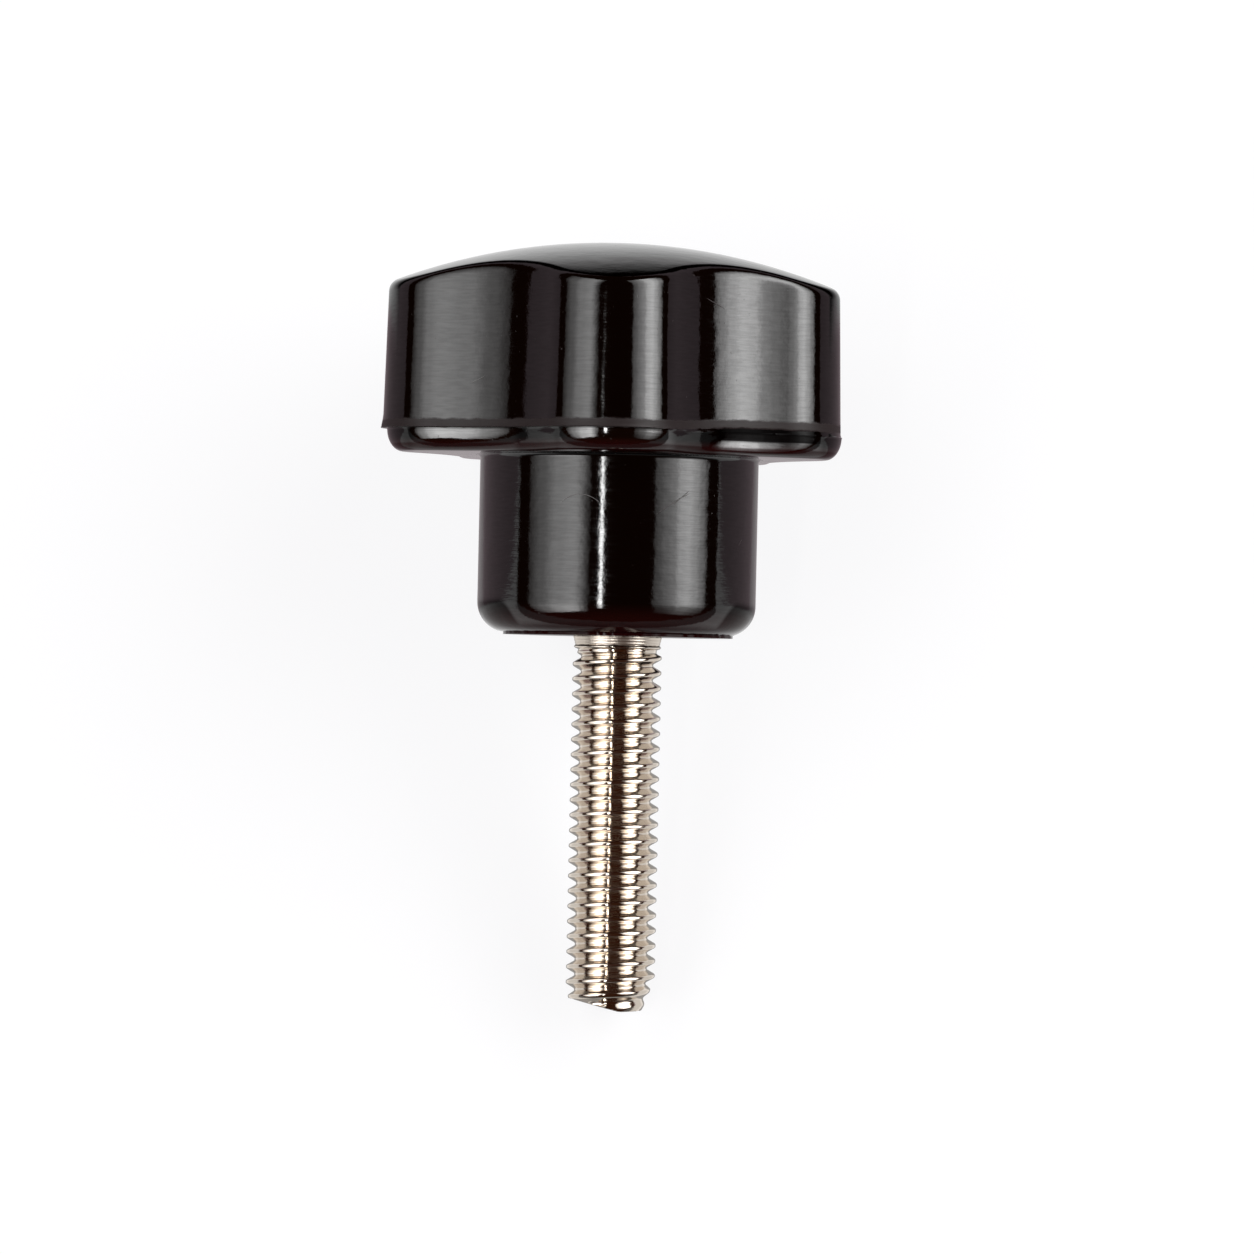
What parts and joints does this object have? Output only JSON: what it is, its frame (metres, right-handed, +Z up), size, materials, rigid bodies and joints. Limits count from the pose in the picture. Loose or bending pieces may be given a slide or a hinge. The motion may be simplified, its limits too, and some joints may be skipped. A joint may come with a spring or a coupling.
{
  "type": "thumb screw",
  "caption": "Thumb screw with a domed, lobed moulded head and hub in glossy black plastic on a nickel-plated threaded steel stud.",
  "frame": {"origin": "centre of the hub's raised seat face, on the axis of the stud", "axes": "the screw lies at rest: +Z is up, its axis runs along Y with the head towards +Y and raised by the rest angle of 15.88 degrees, one lobe is on top, and +X is to the right of someone looking at the head from the stud's tip with that lobe up"},
  "size_m": [0.0301, 0.0507, 0.0303],
  "materials": {
    "knob": "moulded thermoset, high gloss with fine specks, faint polishing lines and a matt trimmed band above the mould's parting line",
    "stud": "bright nickel plating on a rolled thread, slightly warm"
  },
  "bodies": {
    "root": {"knob": "knob", "stud": "stud"}
  },
  "joints": []
}
